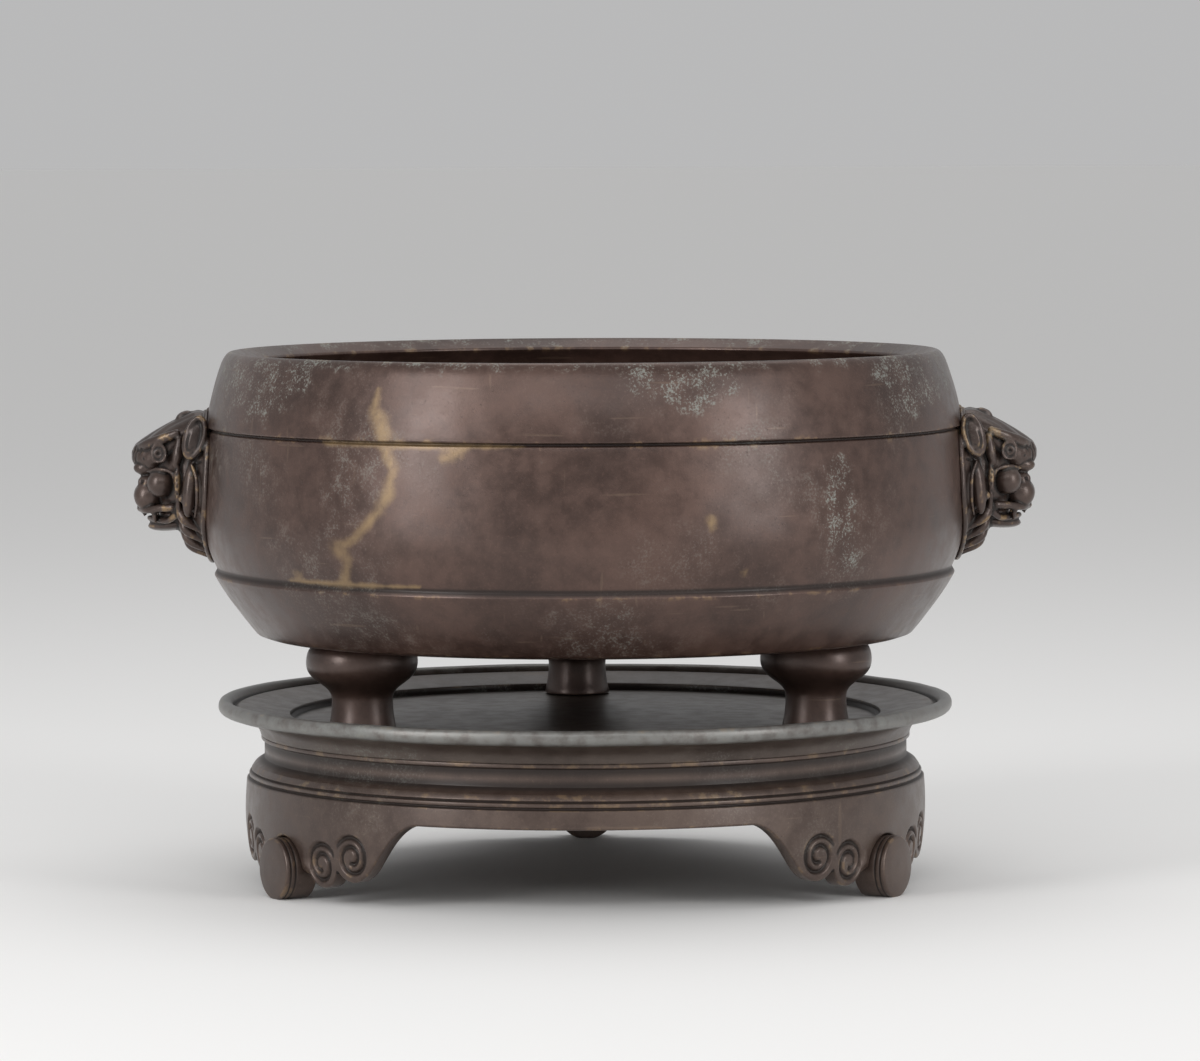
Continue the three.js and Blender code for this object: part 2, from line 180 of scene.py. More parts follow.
def softened(profile, rounding):
    """The profile resampled finely, with its corners rounded."""
    points = np.array(profile, float)
    lengths = np.hypot(*np.diff(points, axis=0).T)
    along = np.concatenate([[0], np.cumsum(lengths)])
    fine = np.linspace(0, along[-1], int(3 * along[-1] / rounding) + 1)
    smooth = np.column_stack([np.interp(fine, along, points[:, k]) for k in (0, 1)])
    for _ in range(6):
        smooth[1:-1] = (smooth[:-2] + 2 * smooth[1:-1] + smooth[2:]) / 4
    return smooth


def thinned(points, tolerance, longest):
    """Only the points that the line needs to stay within the tolerance."""
    kept = [0]
    start = 0
    while start < len(points) - 1:
        end = start + 1
        while end + 1 < len(points):
            chord = points[end + 1] - points[start]
            length = np.hypot(*chord)
            offsets = points[start + 1:end + 1] - points[start]
            away = np.abs(offsets[:, 0] * chord[1] - offsets[:, 1] * chord[0]) / length
            if length > longest or away.max() > tolerance:
                break
            end += 1
        kept.append(end)
        start = end
    return points[kept]


def smoothstep(value, low, high):
    share = np.clip((value - low) / (high - low), 0, 1)
    return share * share * (3 - 2 * share)


def waves(points, wavelength, seed):
    """A smooth uneven field between about -1 and 1, the same on each run."""
    chance = np.random.default_rng(seed)
    total = np.zeros(len(points))
    for _ in range(14):
        direction = chance.normal(size=3)
        direction /= np.linalg.norm(direction)
        length = wavelength * chance.uniform(0.7, 1.6)
        total += np.sin(points @ direction * (2 * math.pi / length) + chance.uniform(0, 2 * math.pi))
    return total / math.sqrt(14)


# Meshes

def make_piece(name, points, faces):
    mesh = bpy.data.meshes.new(name)
    mesh.from_pydata((np.asarray(points) * MM).tolist(), [], faces)
    mesh.validate()
    piece = bpy.data.objects.new(name, mesh)
    bpy.context.scene.collection.objects.link(piece)
    turn_outward(mesh)
    return piece


def turn_outward(mesh):
    work = bmesh.new()
    work.from_mesh(mesh)
    bmesh.ops.recalc_face_normals(work, faces=work.faces)
    work.to_mesh(mesh)
    work.free()
    mesh.polygons.foreach_set("use_smooth", [True] * len(mesh.polygons))
    mesh.update()


def points_of(mesh):
    flat = np.empty(len(mesh.vertices) * 3)
    mesh.vertices.foreach_get("co", flat)
    return flat.reshape(-1, 3) / MM


def normals_of(mesh):
    flat = np.empty(len(mesh.vertices) * 3)
    mesh.vertices.foreach_get("normal", flat)
    return flat.reshape(-1, 3)


def edges_of(mesh):
    flat = np.empty(len(mesh.edges) * 2, dtype=np.int32)
    mesh.edges.foreach_get("vertices", flat)
    return flat.reshape(-1, 2)


def move_points(mesh, points):
    mesh.vertices.foreach_set("co", (points * MM).ravel())
    mesh.update()


def spread(values, edges, rounds):
    """Values on the points, averaged with their neighbours."""
    count = np.zeros(len(values))
    np.add.at(count, edges.ravel(), 1)
    count = np.maximum(count, 1)
    if values.ndim > 1:
        count = count[:, None]
    for _ in range(rounds):
        total = np.zeros_like(values)
        np.add.at(total, edges[:, 0], values[edges[:, 1]])
        np.add.at(total, edges[:, 1], values[edges[:, 0]])
        values = 0.5 * values + 0.5 * total / count
    return values


def store(mesh, name, values):
    layer = mesh.attributes.new(name, "FLOAT", "POINT")
    layer.data.foreach_set("value", np.asarray(values, dtype=np.float32))


def store_wear(mesh, sharp=0.9, rounds=2):
    """Stores where edges stand proud, and where dirt gathers, from the curvature along each edge."""
    points = points_of(mesh)
    normals = normals_of(mesh)
    edges = edges_of(mesh)
    step = points[edges[:, 1]] - points[edges[:, 0]]
    change = normals[edges[:, 1]] - normals[edges[:, 0]]
    curve = (step * change).sum(axis=1) / np.maximum((step * step).sum(axis=1), 1e-6)
    proud = np.zeros(len(points))
    hollow = np.zeros(len(points))
    for end in (0, 1):
        np.maximum.at(proud, edges[:, end], curve)
        np.maximum.at(hollow, edges[:, end], -curve)
    store(mesh, "wear", spread(smoothstep(proud, 0.18, sharp), edges, rounds))
    store(mesh, "dirt", spread(smoothstep(hollow, 0.12, sharp), edges, rounds))


def lathe(name, profile, columns, uneven=None):
    """Turns a profile that starts and ends on the axis. uneven moves its points before they are used."""
    radius = profile[1:-1, 0]
    height = profile[1:-1, 1]
    angle = np.linspace(0, 2 * math.pi, columns, endpoint=False)
    rings = np.stack(
        [
            radius[:, None] * np.cos(angle),
            radius[:, None] * np.sin(angle),
            np.repeat(height[:, None], columns, axis=1),
        ],
        axis=-1,
    ).reshape(-1, 3)
    if uneven:
        rings = uneven(rings)
    ends = [[0, 0, profile[0, 1]], [0, 0, profile[-1, 1]]]
    points = np.concatenate([rings, ends])
    first = len(rings)
    last = first + 1
    faces = []
    for row in range(len(radius) - 1):
        here = row * columns
        for column in range(columns):
            after = (column + 1) % columns
            faces.append((here + column, here + after, here + columns + after, here + columns + column))
    top = (len(radius) - 1) * columns
    for column in range(columns):
        after = (column + 1) % columns
        faces.append((first, after, column))
        faces.append((last, top + column, top + after))
    return make_piece(name, points, faces)


def settle(piece, body, slot, material, *nodes):
    piece.data.materials.append(material)
    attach(piece, body)
    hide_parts(*nodes)


# Bowl

def bowl_outside():
    bottom_edge = (bottom_radius + 2.1, 0.7)
    belly_foot = (belly_foot_radius, belly_foot_height)
    belly = (belly_radius, belly_height)
    return [
        (0, 0),
        (bottom_radius, 0),
        bottom_edge,
        *bend(bottom_edge, (ridge_radius - 3.3, ridge_height - 6.3), (ridge_radius, ridge_height)),
        (belly_foot_radius, ridge_height + ridge_chamfer),
        belly_foot,
        *bend(belly_foot, (belly_radius, (belly_foot_height + belly_height) / 2), belly),
        *bend(
            belly,
            (belly_radius, (belly_height + belly_top_height) / 2),
            (belly_top_radius, belly_top_height),
        ),
        (band_groove_radius, belly_top_height + 0.3),
        (band_groove_radius, band_foot_height - 0.4),
        (band_foot_radius, band_foot_height),
        *bend(
            (band_foot_radius, band_foot_height),
            (band_foot_radius - 0.7, band_foot_height + 7.1),
            (band_top_radius, band_top_height),
        ),
        *bend(
            (band_top_radius, band_top_height),
            (band_top_radius - 1.2, rim_height - 0.5),
            (rim_radius, rim_height),
            6,
        ),
    ]


def bowl_inside():
    inner_radius = belly_radius - bowl_wall
    under_lip = (lip_radius - 0.2, lip_height - 0.7)
    return [
        (lip_radius, lip_height),
        under_lip,
        *bend(under_lip, (inner_radius, lip_height - 7.3), (inner_radius, belly_height), 14),
        *bend(
            (inner_radius, belly_height),
            (inner_radius, bowl_floor + 5.8),
            (inner_floor_radius, bowl_floor),
            14,
        ),
        (0, bowl_floor),
    ]


def wall_radius(height):
    """The bowl's outer radius at heights from the floor."""
    outside = np.array(bowl_outside()[2:])
    return np.interp(height - bowl_foot, outside[:, 1], outside[:, 0])


# Golden drips and pale green stains on the bowl's front: x, height from the floor, half width
drips = [
    [(-53.2, 138.5, 0.8), (-54.4, 133.3, 1.6), (-52.5, 129.5, 2.8), (-52, 126.6, 2.4)],
    [(-68, 124, 0.6), (-49, 124, 1.1), (-34, 124, 0.9), (-15, 124, 0.4)],
    [(-52, 123.8, 1.8), (-49.6, 118, 1.6), (-51, 111, 1.8), (-54.4, 105.5, 1.4), (-60.5, 98.7, 1.3)],
    [(-60.5, 98.7, 1.3), (-64.6, 96.8, 2.4), (-61.6, 93.3, 1.4), (-62.6, 87.6, 1.8)],
    [(-78, 87, 0.5), (-62.6, 87, 1), (-42.3, 87, 0.4)],
    [(-75.5, 89, 1.5), (-75.2, 88.4, 1.2)],
    [(33, 104.8, 1.6), (33.8, 102.6, 1.1)],
    [(41.4, 90.7, 1.1), (41.7, 90.4, 0.9)],
    [(-33, 121.8, 2), (-36, 121, 1.6)],
]
stains = [
    [(-94, 141, 5), (-86, 137, 6), (-78, 141.5, 5)],
    [(14, 142, 4), (28, 139, 5), (36, 141.5, 4)],
    [(81, 141.5, 4), (87, 136, 5), (96, 142, 5)],
    [(66.7, 117, 2.6), (67.5, 103, 3.4), (69, 92.9, 2.6)],
]


def stroke_field(points, strokes):
    """How near the front's points lie to painted strokes: 1 on a stroke's middle, 0 outside it."""
    flat = points[:, [0, 2]]
    field = np.zeros(len(points))
    for stroke in strokes:
        for (x0, z0, w0), (x1, z1, w1) in zip(stroke[:-1], stroke[1:]):
            start = np.array([x0, z0])
            step = np.array([x1, z1]) - start
            share = np.clip((flat - start) @ step / (step @ step), 0, 1)
            away = np.linalg.norm(flat - start - share[:, None] * step, axis=1)
            field = np.maximum(field, 1 - away / (2 * (w0 + (w1 - w0) * share)))
    outer = np.linalg.norm(points[:, :2], axis=1) > wall_radius(points[:, 2]) - bowl_wall / 2
    return np.where((points[:, 1] < 0) & outer, field, 0)


def make_bowl(material):
    outside = softened(bowl_outside() + bowl_inside(), 0.35)
    profile = thinned(outside, 0.012, 1.6)
    profile[:, 1] += bowl_foot

    def uneven(rings):
        out = rings / np.maximum(np.linalg.norm(rings[:, :2], axis=1), 1)[:, None]
        out[:, 2] = 0
        return rings + out * (0.1 * waves(rings, 34, 3) + 0.035 * waves(rings, 9, 4))[:, None]

    bowl = lathe("bowl_casting", profile, 448, uneven)
    points = points_of(bowl.data)
    store_wear(bowl.data)
    store(bowl.data, "drip", stroke_field(points, drips))
    near_rim = 0.5 * smoothstep(points[:, 2], bowl_foot + band_top_height, bowl_foot + rim_height)
    store(bowl.data, "stain", np.maximum(stroke_field(points, stains), near_rim))
    settle(bowl, "censer", "bowl_bronze", material, "bowl")


# Bowl feet

def make_foot(place, angle, material):
    base = (foot_base_radius, 0.8)
    waist = (foot_waist_radius, foot_waist_height)
    bulb = (foot_bulb_radius, foot_bulb_height)
    profile = [
        (0, 0),
        (foot_base_radius, 0),
        base,
        *bend(base, (foot_waist_radius, foot_waist_height / 2), waist),
        *cubic(
            waist,
            (foot_waist_radius, foot_waist_height + 4.3),
            (foot_bulb_radius, foot_bulb_height - 5.5),
            bulb,
        ),
        *bend(bulb, (foot_bulb_radius, foot_height - 1.2), (foot_neck_radius, foot_height)),
        (foot_neck_radius - 0.6, foot_height + fit_gap),
        (0, foot_height + fit_gap),
    ]
    shape = thinned(softened(profile, 0.4), 0.012, 1.2)
    shape[:, 1] += baluster_base
    turn = math.radians(angle + foot_turn)

    def uneven(rings):
        moved = rings + [foot_circle * math.cos(turn), foot_circle * math.sin(turn), 0]
        return moved + rings * (0.006 * waves(moved, 11, 6))[:, None] * [1, 1, 0]

    foot = lathe(f"baluster_{place}", shape, 96, uneven)
    # The flat ends' middles follow the foot out to its place.
    points = points_of(foot.data)
    points[-2:, 0] += foot_circle * math.cos(turn)
    points[-2:, 1] += foot_circle * math.sin(turn)
    move_points(foot.data, points)
    turn_outward(foot.data)
    store_wear(foot.data)
    settle(foot, "censer", "foot_bronze", material, f"bowl_foot_{place}")


# Tray

def tray_profile():
    bead_middle = (bead_bottom_rise + bead_top_rise) / 2
    bead_top = ((bead_inner_radius + bead_outer_radius) / 2, bead_top_rise)
    return [
        (0, tray_floor_rise - tray_floor_thickness),
        (spigot_radius - spigot_wall, tray_floor_rise - tray_floor_thickness),
        (spigot_radius - spigot_wall, -spigot_depth),
        (spigot_radius, -spigot_depth),
        (spigot_radius, 0),
        (cap_radius, 0),
        *bend(
            (cap_radius, 0),
            (cap_radius + 0.8, bead_bottom_rise - 1),
            (bead_inner_radius, bead_bottom_rise),
        ),
        *bend(
            (bead_inner_radius, bead_bottom_rise),
            (bead_outer_radius, bead_bottom_rise),
            (bead_outer_radius, bead_middle),
        ),
        *bend((bead_outer_radius, bead_middle), (bead_outer_radius, bead_top_rise), bead_top),
        *bend(bead_top, (bead_inner_radius, bead_top_rise), (tray_groove_radius, tray_groove_rise)),
        (ledge_radius, ledge_outer_rise),
        (well_radius + well_step, ledge_inner_rise),
        (well_radius + well_step, tray_floor_rise + well_step),
        (well_radius, tray_floor_rise),
        (0, tray_floor_rise),
    ]


def make_tray(material):
    profile = thinned(softened(tray_profile(), 0.3), 0.012, 1.6)
    profile[:, 1] += frame_top

    def uneven(rings):
        radius = np.linalg.norm(rings[:, :2], axis=1)
        on_bead = smoothstep(radius, ledge_radius, bead_outer_radius)
        wave = 0.16 * waves(rings, 42, 11) + 0.07 * waves(rings, 13, 12)
        moved = rings.copy()
        moved[:, :2] *= (1 + on_bead * wave / np.maximum(radius, 1))[:, None]
        moved[:, 2] += on_bead * 0.6 * wave
        return moved

    tray = lathe("tray_casting", profile, 384, uneven)
    store_wear(tray.data)
    reach = np.linalg.norm(points_of(tray.data)[:, :2], axis=1)
    store(tray.data, "pale", smoothstep(reach, tray_groove_radius, bead_inner_radius + 1))
    settle(tray, "stand", "tray_bronze", material, "tray")


# Stand frame

def apron_radius_at(height):
    return apron_radius - (apron_radius - leg_toe_radius) * ((height - apron_belly) / apron_belly) ** 2


def lobe_arc(lobe, start, end, steps):
    angle = np.radians(np.linspace(start, end, steps + 1))
    along = lobe["along"] + lobe["radius"] * np.sin(angle)
    up = lobe["up"] - lobe["radius"] * np.cos(angle)
    return list(zip(along, up))


def half_leg_edge():
    """The frame's lower edge from a leg's middle: over the roll, round two lobes and up to the arch."""
    notch = roll_radius + fit_gap
    notch_across = notch * apron_radius / (apron_radius - frame_wall)
    edge = []
    for angle in np.radians(np.linspace(0, 80, 26)):
        edge.append((notch_across * math.sin(angle), roll_centre + notch * math.cos(angle)))
    edge.append((notch_across + 0.2, notch_height))
    edge.extend(lobe_arc(outer_lobe, -58, 75, 46))
    edge.extend(lobe_arc(inner_lobe, -50, 35, 34))
    edge.extend(cubic(edge[-1], (38.8, 10.2), (43.5, arch_height - 0.3), (arch_start, arch_height), 34))
    return edge


def frame_upper():
    return [
        (frame_bore, frame_top - 1),
        (frame_bore, frame_top),
        (cap_radius, frame_top),
        (cap_radius, frame_top - 1),
        (waist_radius, frame_top - 1.4),
        (waist_radius, waist_foot),
        (shoulder_radius, shoulder_height),
        (shoulder_radius + 1, upper_groove_height + 0.4),
        (upper_groove_radius, upper_groove_height),
        (fillet_radius, upper_groove_height - 0.4),
        (fillet_radius, lower_groove_height + 0.3),
        (lower_groove_radius - 0.3, lower_groove_height),
        (lower_groove_radius, apron_top + 0.3),
        (apron_radius_at(apron_top), apron_top),
    ]


def scroll_carving(along, up, lobe, hand):
    """Depth of a spiral groove cut round a lobe's middle."""
    across = hand * (along - lobe["along"])
    rise = up - lobe["up"]
    radius = np.hypot(across, rise)
    turn = np.mod(np.arctan2(rise, across) / (2 * math.pi) + 0.3, 1)
    lap = (radius - scroll_start) / scroll_pitch - turn
    nearest = np.round(lap)
    away = np.abs(lap - nearest) * scroll_pitch
    travelled = nearest + turn
    ended = smoothstep(travelled, scroll_turns - 0.1, scroll_turns + 0.05)
    held = smoothstep(travelled, -0.05, 0.1) * (1 - ended)
    return scroll_depth * held * smoothstep(scroll_half_width - away, 0, scroll_half_width)


def leg_carving(along, up):
    """Depth of the carving on a leg, by distance along the apron and height."""
    side = np.abs(along)
    return np.maximum(scroll_carving(side, up, outer_lobe, -1), scroll_carving(side, up, inner_lobe, 1))


def make_frame(material):
    half = half_leg_edge()
    arch_middle = math.radians(60) * apron_radius
    arch = [(along, arch_height) for along in np.linspace(arch_start, arch_middle, 16)[1:]]
    leg = [(-along, up) for along, up in reversed((half + arch[:-1])[1:])] + half + arch
    leg = np.array(leg)
    upper = thinned(softened(frame_upper(), 0.22), 0.01, 2.5)
    columns = []
    for leg_angle in sorted(leg_angles.values()):
        for along, edge in leg:
            columns.append((math.radians(leg_angle) + along / apron_radius, along, edge))
    angle, along, edge = (np.array(v)[:, None] for v in zip(*columns))
    count = len(columns)

    rows = [(np.full((count, 1), r), np.full((count, 1), z)) for r, z in upper]
    for share in np.linspace(0, 1, 66)[1:]:
        z = apron_top + (edge + edge_round - apron_top) * share
        rows.append((apron_radius_at(z) - leg_carving(along, z), z))
    for turn in np.radians(np.linspace(0, 90, 5)[1:]):
        z = edge + edge_round * (1 - math.sin(turn))
        rows.append((apron_radius_at(edge) - edge_round * (1 - math.cos(turn)), z))
    inner = apron_radius_at(edge) - frame_wall
    rows.append((inner + 2.2, edge))
    rows.append((inner + 0.4, edge))
    rows.append((inner, edge + 0.4))
    middle = (apron_top + edge) / 2
    rows.append((apron_radius_at(middle) - frame_wall, middle))
    top_inside = apron_radius_at(apron_top) - frame_wall
    rows.append((np.full((count, 1), top_inside), np.full((count, 1), apron_top - frame_wall / 2)))
    rows.append((np.full((count, 1), frame_bore), np.full((count, 1), waist_foot - frame_wall / 2)))

    radius = np.hstack([r for r, _ in rows])
    height = np.hstack([z for _, z in rows])
    points = np.stack([radius * np.cos(angle), radius * np.sin(angle), height], axis=-1)
    row_count = radius.shape[1]
    faces = []
    for column in range(count):
        here = column * row_count
        there = (column + 1) % count * row_count
        for row in range(row_count):
            below = (row + 1) % row_count
            faces.append((here + row, there + row, there + below, here + below))
    piece = make_piece("frame_casting", points.reshape(-1, 3), faces)
    moved = points_of(piece.data)
    out = moved * [1, 1, 0] / np.linalg.norm(moved[:, :2], axis=1)[:, None]
    move_points(piece.data, moved + out * (0.06 * waves(moved, 17, 21))[:, None])
    store_wear(piece.data, sharp=1.1, rounds=1)
    settle(piece, "stand", "frame_bronze", material, "stand_frame")


def make_roll(place, angle, material):
    """A short roll with a softly rounded face, lying outward under a leg."""
    back = -roll_length
    profile = [
        (0, 0),
        (roll_radius * 0.6, -0.15),
        (roll_radius - 0.4, -0.5),
        (roll_radius, -0.9),
        (roll_radius, -1.7),
        (roll_radius - 0.3, -1.9),
        (roll_radius, -2.1),
        (roll_radius, -3.1),
        (roll_radius - 0.25, -3.3),
        (roll_radius, -3.5),
        (roll_radius, back + 0.5),
        (roll_radius - 0.5, back),
        (0, back),
    ]
    shape = thinned(softened(profile, 0.3), 0.012, 1.2)
    roll = lathe(f"roll_{place}", shape, 96)
    points = points_of(roll.data)
    turn = math.radians(angle)
    across = points[:, 0]
    up = np.maximum(points[:, 1], -roll_centre)
    out = roll_reach + points[:, 2]
    placed = np.column_stack(
        [
            out * math.cos(turn) - across * math.sin(turn),
            out * math.sin(turn) + across * math.cos(turn),
            up + roll_centre,
        ]
    )
    move_points(roll.data, placed)
    turn_outward(roll.data)
    store_wear(roll.data)
    settle(roll, "stand", "frame_bronze", material, f"roll_foot_{place}")


# Lion masks, made for the +X side: outward from the belly, sideways, up from the mask's foot

mask_voxel = 0.32
wall_seat = 0.08


def mask_place(outward, sideways, up):
    return np.array([belly_radius + outward, sideways, mask_foot + up])


def unit_sphere(columns, rows):
    tilt = np.linspace(0, math.pi, rows + 1)[1:-1, None]
    turn = np.linspace(0, 2 * math.pi, columns, endpoint=False)
    level = np.repeat(np.cos(tilt), columns, axis=1)
    rings = np.stack([np.sin(tilt) * np.cos(turn), np.sin(tilt) * np.sin(turn), level], axis=-1)
    points = np.vstack([rings.reshape(-1, 3), [[0, 0, 1], [0, 0, -1]]])
    top = (rows - 1) * columns
    faces = []
    for column in range(columns):
        after = (column + 1) % columns
        faces.append((top, column, after))
        faces.append((top + 1, top - columns + after, top - columns + column))
        for row in range(rows - 2):
            here = row * columns
            faces.append((here + column, here + columns + column, here + columns + after, here + after))
    return points, faces


class Clay:
    """Overlapping closed lumps, later melted into one skin."""

    def __init__(self):
        self.points = []
        self.faces = []
        self.count = 0

    def add(self, points, faces):
        self.points.append(points)
        self.faces.extend([tuple(corner + self.count for corner in face) for face in faces])
        self.count += len(points)

    def mesh(self, name):
        mesh = bpy.data.meshes.new(name)
        mesh.from_pydata((np.vstack(self.points) * MM).tolist(), [], self.faces)
        return mesh


fine_sphere = unit_sphere(28, 16)
cord_sphere = unit_sphere(12, 7)


def add_ball(clay, place, radii, lean=0, swing=0):
    """An ellipsoid. lean tips its top outward and swing turns it about the vertical, in degrees."""
    spin = Matrix.Rotation(math.radians(swing), 3, "Z") @ Matrix.Rotation(math.radians(lean), 3, "Y")
    unit, faces = fine_sphere
    clay.add((unit * radii) @ np.array(spin).T + mask_place(*place), faces)


def add_pair(clay, place, radii, lean=0, swing=0):
    outward, sideways, up = place
    add_ball(clay, (outward, sideways, up), radii, lean, swing)
    add_ball(clay, (outward, -sideways, up), radii, lean, -swing)


def curve_through(knots, spacing):
    """Points along a smooth line through knots of (outward, sideways, up, radius)."""
    knots = np.array(knots, float)
    padded = np.vstack([2 * knots[0] - knots[1], knots, 2 * knots[-1] - knots[-2]])
    line = []
    for a, b, c, d in zip(padded[:-3], padded[1:-2], padded[2:-1], padded[3:]):
        steps = max(2, int(np.linalg.norm((c - b)[:3]) / spacing))
        t = np.linspace(0, 1, steps, endpoint=False)[:, None]
        cubic_part = (3 * b - a - 3 * c + d) * t ** 3
        line.append(0.5 * (2 * b + (c - a) * t + (2 * a - 5 * b + 4 * c - d) * t ** 2 + cubic_part))
    line.append(knots[-1:])
    return np.vstack(line)


def add_cord(clay, knots):
    """A round strand through the knots, on both sides of the mask."""
    unit, faces = cord_sphere
    for outward, sideways, up, radius in curve_through(knots, 0.45):
        for hand in (1, -1):
            clay.add(unit * radius + mask_place(outward, hand * sideways, up), faces)


def ring_knots(place, facing, reach_up, reach_across, radius, start=0, end=360, steps=14, lean=0):
    """Knots of an oval ring round a place, square to the facing direction. lean tips its top outward."""
    facing = Vector(facing).normalized()
    across = facing.cross(Vector((0, 0, 1))).normalized()
    up = across.cross(facing).normalized()
    tip = math.radians(lean)
    tall = up * math.cos(tip) + across * math.sin(tip)
    wide = across * math.cos(tip) - up * math.sin(tip)
    knots = []
    for angle in np.radians(np.linspace(start, end, steps)):
        step = tall * (reach_up * math.cos(angle)) + wide * (reach_across * math.sin(angle))
        point = Vector(place) + step
        knots.append((*point, radius))
    return knots


def wall_outward(sideways, up):
    """How far outward the bowl's wall lies at a place on the mask."""
    return math.sqrt(wall_radius(mask_foot + up) ** 2 - sideways ** 2) - belly_radius


def plate_edge(share):
    """Sideways and up of the mane plate's edge, from its top at share 0 to the beard's tip at 1."""
    angle = math.pi * (0.08 + 0.92 * share)
    up = 21.6 + 20.6 * math.cos(angle)
    taper = 1 - 0.42 * max(0, (share - 0.5) / 0.5) ** 1.3
    return max(0.2, 19.4 * math.sin(angle) ** 0.75 * taper), up


side_facing = (0.25, 0.97, 0)
ear_lean = -18


def add_head(clay):
    add_ball(clay, (2, 0, 24), (12, 12, 16))
    for sideways, thinner in ((0, 0), (2.6, 0.3), (4.8, 1.3)):
        drop = 0.5 * sideways
        add_cord(clay, [
            (1.6, sideways, 37.4, 4.8 - thinner),
            (7, sideways * 1.1, 34.3, 5.2 - thinner),
            (11.4 - 0.4 * drop, sideways, 31.6, 5.4 - thinner),
            (15.2 - 0.7 * drop, 0.8 * sideways, 29.6 - 0.2 * drop, 5 - thinner),
        ])
    add_pair(clay, (16.2, 3.3, 26.3), (3.2, 2.3, 1.9), swing=-10)
    add_ball(clay, (14.6, 0, 18.6), (5, 4.6, 4.6))
    add_pair(clay, (15.4, 3.8, 18.6), (3.9, 3.2, 4), swing=-14)
    add_pair(clay, (15.2, 3.2, 22.4), (3, 2.8, 2.2))
    add_pair(clay, (11.4, 8.7, 22.4), (3.8, 3.7, 3.9))
    add_ball(clay, (8.8, 0, 10.9), (7, 5.6, 2), lean=6)
    add_ball(clay, (2, 0, 13), (6, 9.6, 8))
    add_ball(clay, (9, 0, 13.6), (3.6, 7.2, 2.2))


def add_features(clay):
    """Brows, eyes, lips and teeth."""
    add_cord(clay, [(18.4, 1.8, 31.6, 1), (15.4, 6.2, 33, 1.4), (11.4, 9.4, 34.4, 1.5), (6.8, 11, 36.2, 1.2)])
    add_pair(clay, (11.8, 8.6, 30.6), (1.9, 2, 2))
    add_cord(clay, ring_knots((11.8, 9.9, 30.6), side_facing, 2.5, 2.1, 0.55))
    add_cord(clay, [(6, 11.6, 34.6, 1), (6.4, 12, 31, 1.5), (7.2, 12, 27.6, 1.1)])
    cheek_fold = [(15, 7.4, 25.6, 0.5), (11.6, 10.6, 26.4, 0.6), (8.2, 11.8, 25.4, 0.6)]
    add_cord(clay, cheek_fold + [(7.2, 11.8, 22.4, 0.5)])
    add_cord(clay, [(17.8, 1, 15, 0.9), (15.6, 5.2, 14.8, 1), (12.4, 7.8, 15.4, 1.1), (8.4, 9.8, 15.8, 1.2)])
    add_cord(clay, [(15.2, 0.4, 12.4, 0.8), (13, 4.4, 12.2, 0.9), (9.8, 7.4, 12, 0.9), (7.4, 9.8, 13.6, 1)])
    add_cord(clay, [(13.4, 6.9, 14.8, 0.9), (13.3, 6.9, 12.8, 0.7), (13.1, 6.9, 11.6, 0.4)])
    add_cord(clay, [(16.6, 2.2, 14.6, 0.7), (16.4, 2.2, 13.3, 0.5)])
    add_cord(clay, [(4.6, 0.6, 41, 1.1), (6.2, 1.4, 40.4, 1.1), (6.8, 2.8, 39.4, 1), (6, 3.8, 38.8, 0.7)])


def add_mane(clay):
    """The domed plate behind the face, with ears, long side locks and a tapering beard."""
    add_ball(clay, (-3.4, 0, 22.4), (9.4, 18.6, 19.6))
    edge = []
    for share in np.linspace(0, 1, 26):
        sideways, up = plate_edge(share)
        edge.append((wall_outward(sideways, up) + 0.35, sideways, up, 1.15))
    add_cord(clay, edge)
    add_pair(clay, (1.4, 15.4, 35.2), (2.9, 2, 6), lean=ear_lean, swing=10)
    add_cord(clay, ring_knots((1.5, 16.5, 35.3), side_facing, 5.7, 2.6, 0.8, lean=ear_lean))
    add_pair(clay, (2.9, 14.6, 21), (2.2, 2.6, 7.8), lean=-6)
    add_cord(clay, [(2.4, 16.6, 28, 0.5), (1, 18, 24, 0.65), (0.9, 18, 18, 0.65), (1.6, 15.4, 13.6, 0.5)])
    add_cord(clay, [(6.6, 12.2, 27, 0.8), (6.6, 12.6, 21, 0.95), (6.3, 11.4, 14.6, 0.8)])
    add_pair(clay, (5.2, 14.6, 18.6), (1.2, 1.2, 1.2))
    for row, (side, foot) in enumerate([(11.6, 9.6), (8.8, 6.6), (5.6, 3.8), (2.2, 2)]):
        add_cord(clay, [
            (6.2 - 0.5 * row, side * 0.82, foot + 6.4, 1.5),
            (4.8 - 0.4 * row, side, foot + 3, 1.5),
            (wall_outward(side, foot) + 1.5 - 0.15 * row, side * 0.94, foot, 0.75),
        ])


def carve(points, normals, knots, half_width, depth):
    """Cuts a groove into the points near a line, on both sides of the mask. Negative depth raises it."""
    line = curve_through([(*knot[:3], 0) for knot in knots], 0.3)[:, :3]
    for hand in (1, -1):
        places = line * [1, hand, 1] + [belly_radius, 0, mask_foot]
        low = places.min(axis=0) - half_width
        high = places.max(axis=0) + half_width
        near = np.flatnonzero(((points > low) & (points < high)).all(axis=1))
        if len(near) == 0:
            continue
        away = np.full(len(near), np.inf)
        for place in places:
            away = np.minimum(away, np.linalg.norm(points[near] - place, axis=1))
        cut = depth * smoothstep(half_width - away, 0, half_width)
        points[near] -= normals[near] * cut[:, None]


def dent(points, normals, place, radius, depth):
    for hand in (1, -1):
        centre = mask_place(place[0], hand * place[1], place[2])
        away = np.linalg.norm(points - centre, axis=1)
        points -= normals * (depth * smoothstep(radius - away, 0, radius))[:, None]


